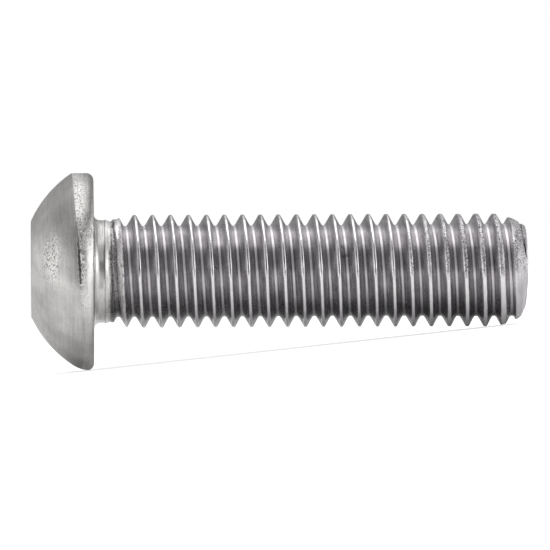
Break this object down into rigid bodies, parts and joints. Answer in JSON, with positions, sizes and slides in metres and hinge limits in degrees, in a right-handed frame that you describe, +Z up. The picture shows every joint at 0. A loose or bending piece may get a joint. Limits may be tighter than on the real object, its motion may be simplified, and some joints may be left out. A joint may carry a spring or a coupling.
{
  "type": "button head screw",
  "caption": "Low domed screw with a hexagon socket, a flat bearing face and a straight, fully threaded shank that ends in a rounded point",
  "frame": {"origin": "on the floor, under the middle of the box round the screw as it lies on its side", "axes": "+X runs from the head to the point, +Z is up; the screw's own axis is in the XZ plane and falls 5.93 degrees toward the point"},
  "size_m": [0.0348, 0.0136, 0.0137],
  "materials": {
    "stainless_steel": "satin, as forged and rolled"
  },
  "bodies": {
    "root": {"button_head_screw": "stainless_steel"}
  },
  "joints": []
}
